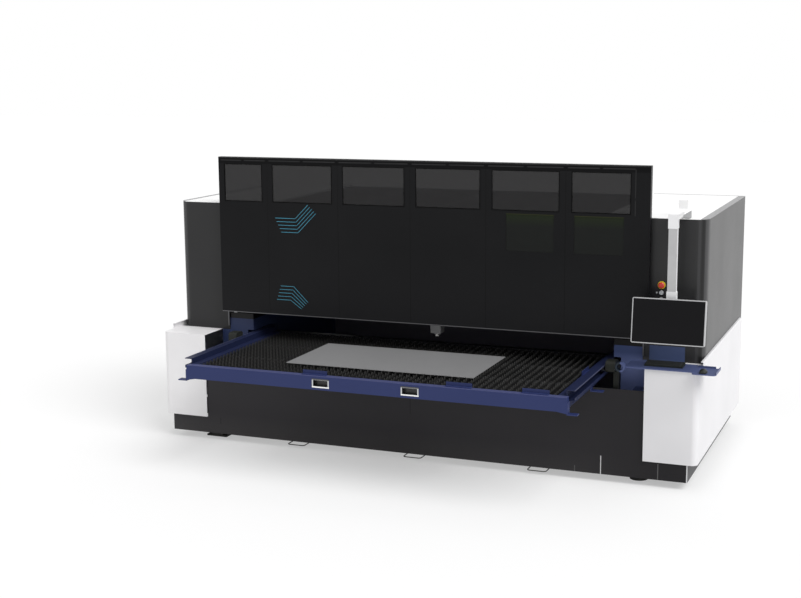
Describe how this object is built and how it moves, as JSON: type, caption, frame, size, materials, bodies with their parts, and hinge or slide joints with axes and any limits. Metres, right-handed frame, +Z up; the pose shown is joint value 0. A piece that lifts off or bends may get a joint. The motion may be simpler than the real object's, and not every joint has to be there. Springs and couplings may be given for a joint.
{
  "type": "fiber laser cutting machine",
  "caption": "Sheet laser cutting machine with a lifting front door, pull-out slatted table, gantry, slag trays and a screen on a swinging arm.",
  "frame": {"origin": "on the floor, in the middle of the box around the whole machine with its table pulled out and its door raised", "axes": "+X along the machine's length towards the operator's screen, +Y from the front to the rear, +Z up"},
  "size_m": [4.838, 3.174, 2.476],
  "materials": {
    "navy_paint": "satin navy paint",
    "bed_navy": "satin navy paint",
    "black_steel": "satin",
    "black_skirt": "fine texture",
    "black_plinth": "fine texture",
    "white_paint_left": "fine texture",
    "white_paint": "fine texture",
    "charcoal_left": "semi-gloss",
    "charcoal_paint": "semi-gloss",
    "roof_paint": "satin",
    "rail_paint": "satin",
    "rear_paint": "semi-gloss",
    "galvanised": "galvanised",
    "gland_plastic": "matte",
    "ground_steel": "ground",
    "grey_cast": "dark grey-green",
    "shoe_plastic": "matte",
    "runner_steel": "satin",
    "door_rail_steel": "ground",
    "plate_blue": "satin",
    "pivot_steel": "machined",
    "console_blue": "satin",
    "keyboard_plastic": "matte",
    "mouse_plastic": "matte",
    "yellow_plastic": "gloss",
    "table_navy_front": "semi-gloss navy paint",
    "table_navy": "semi-gloss navy paint",
    "channel_navy": "semi-gloss navy paint",
    "black_cross": "satin",
    "comb_steel": "satin",
    "slat_steel": "dark mill scale",
    "clip_navy": "semi-gloss navy paint",
    "handle_alloy": "satin",
    "tab_navy": "semi-gloss navy paint",
    "sheet_metal": "cold rolled",
    "roller_steel_left": "turned",
    "roller_steel": "turned",
    "door_black": "semi-gloss",
    "tinted_glass": "dark tinted",
    "laser_glass": "dark green tinted",
    "door_shoe_plastic": "matte",
    "gantry_paint": "satin",
    "saddle_steel": "satin",
    "track_steel": "ground",
    "carriage_alloy": "anodised",
    "motor_black": "satin",
    "head_white": "satin",
    "nozzle_brass": "machined",
    "tray_steel_left": "satin",
    "tray_steel_middle": "satin",
    "tray_steel_right": "satin",
    "arm_grey": "satin",
    "mast_grey": "satin",
    "light_strip": "translucent, unlit",
    "bezel_silver": "satin",
    "screen_black": "dark, unlit",
    "red_plastic": "gloss",
    "button_grey": "gloss",
    "button_dark": "gloss"
  },
  "bodies": {
    "machine": {"bed_girder_left": "navy_paint", "bed_girder_right": "navy_paint", "bed_cross_beams": "bed_navy", "levelling_feet": "black_steel", "front_skirt": "black_skirt", "plinth_cover": "black_plinth", "end_cover_left": "white_paint_left", "end_cover_right": "white_paint", "casing_left": "charcoal_left", "casing_right": "charcoal_paint", "roof_panels": "roof_paint", "roof_rails": "rail_paint", "rear_cover": "rear_paint", "extraction_spigot": "galvanised", "power_gland": "gland_plastic", "gantry_guides": "ground_steel", "guide_posts": "grey_cast", "slide_shoes": "shoe_plastic", "tray_runners": "runner_steel", "door_lift_rails": "door_rail_steel", "service_plate": "plate_blue", "arm_pivot": "pivot_steel", "console_shelf": "console_blue", "keyboard": "keyboard_plastic", "mouse": "mouse_plastic", "emergency_collar": "yellow_plastic"},
    "table": {"table_front_beam": "table_navy_front", "table_side_tubes": "table_navy", "table_channels": "channel_navy", "table_cross_members": "black_cross", "slat_combs": "comb_steel", "slats": "slat_steel", "sheet_clips": "clip_navy", "table_handles": "handle_alloy", "table_tabs": "tab_navy", "workpiece_sheet": "sheet_metal"},
    "roller_left": {"table_roller_left": "roller_steel_left"},
    "roller_right": {"table_roller_right": "roller_steel"},
    "door": {"door_panel": "door_black", "window_panes": "tinted_glass", "viewing_panes": "laser_glass", "door_shoes": "door_shoe_plastic"},
    "gantry": {"gantry_beam": "gantry_paint", "gantry_saddles": "saddle_steel", "beam_tracks": "track_steel"},
    "carriage": {"carriage": "carriage_alloy", "lift_motor": "motor_black"},
    "head": {"cutting_head": "head_white", "nozzle": "nozzle_brass"},
    "tray_left": {"slag_tray_left": "tray_steel_left"},
    "tray_middle": {"slag_tray_middle": "tray_steel_middle"},
    "tray_right": {"slag_tray_right": "tray_steel_right"},
    "arm": {"swing_arm": "arm_grey", "arm_mast": "mast_grey", "status_light": "light_strip"},
    "screen": {"screen_housing": "bezel_silver", "screen_glass": "screen_black"},
    "emergency": {"emergency_button": "red_plastic"},
    "start": {"start_button": "button_grey"},
    "stop": {"stop_button": "button_dark"}
  },
  "joints": [
    {"name": "table_slide", "type": "slide", "parent": "machine", "child": "table", "axis": [0, 1, 0], "range_m": [0, 1.27]},
    {"name": "door_lift", "type": "slide", "parent": "machine", "child": "door", "axis": [0, 0, 1], "range_m": [-0.17, 0]},
    {"name": "gantry_travel", "type": "slide", "parent": "machine", "child": "gantry", "axis": [0, 1, 0], "range_m": [-0.03, 1.3]},
    {"name": "carriage_travel", "type": "slide", "parent": "gantry", "child": "carriage", "axis": [1, 0, 0], "range_m": [-1.55, 1.38]},
    {"name": "head_lift", "type": "slide", "parent": "carriage", "child": "head", "axis": [0, 0, 1], "range_m": [-0.05, 0.1]},
    {"name": "tray_left_slide", "type": "slide", "parent": "machine", "child": "tray_left", "axis": [0, -1, 0], "range_m": [0, 1.3]},
    {"name": "tray_middle_slide", "type": "slide", "parent": "machine", "child": "tray_middle", "axis": [0, -1, 0], "range_m": [0, 1.3]},
    {"name": "tray_right_slide", "type": "slide", "parent": "machine", "child": "tray_right", "axis": [0, -1, 0], "range_m": [0, 1.3]},
    {"name": "arm_swivel", "type": "hinge", "parent": "machine", "child": "arm", "pos_m": [2.04, -0.134, 2.085], "axis": [0, 0, 1], "range_deg": [-15, 90]},
    {"name": "screen_tilt", "type": "hinge", "parent": "arm", "child": "screen", "pos_m": [2.04, -0.594, 1.309], "axis": [1, 0, 0], "range_deg": [-5, 15]},
    {"name": "emergency_press", "type": "slide", "parent": "machine", "child": "emergency", "axis": [0, 1, 0], "range_m": [0, 0.005], "stiffness_N_per_m": 900, "springref_m": -0.004},
    {"name": "start_press", "type": "slide", "parent": "machine", "child": "start", "axis": [0, 1, 0], "range_m": [0, 0.003], "stiffness_N_per_m": 700, "springref_m": -0.003},
    {"name": "stop_press", "type": "slide", "parent": "machine", "child": "stop", "axis": [0, 1, 0], "range_m": [0, 0.003], "stiffness_N_per_m": 700, "springref_m": -0.003},
    {"name": "roller_left_spin", "type": "hinge", "parent": "machine", "child": "roller_left", "pos_m": [-1.6615, -0.594, 0.8972], "axis": [1, 0, 0], "continuous": true},
    {"name": "roller_right_spin", "type": "hinge", "parent": "machine", "child": "roller_right", "pos_m": [1.5275, -0.594, 0.8972], "axis": [1, 0, 0], "continuous": true}
  ],
  "couplings": [
    {"joint": "roller_left_spin", "follows": "table_slide", "rad_per_m": -29.851},
    {"joint": "roller_right_spin", "follows": "table_slide", "rad_per_m": -29.851}
  ]
}
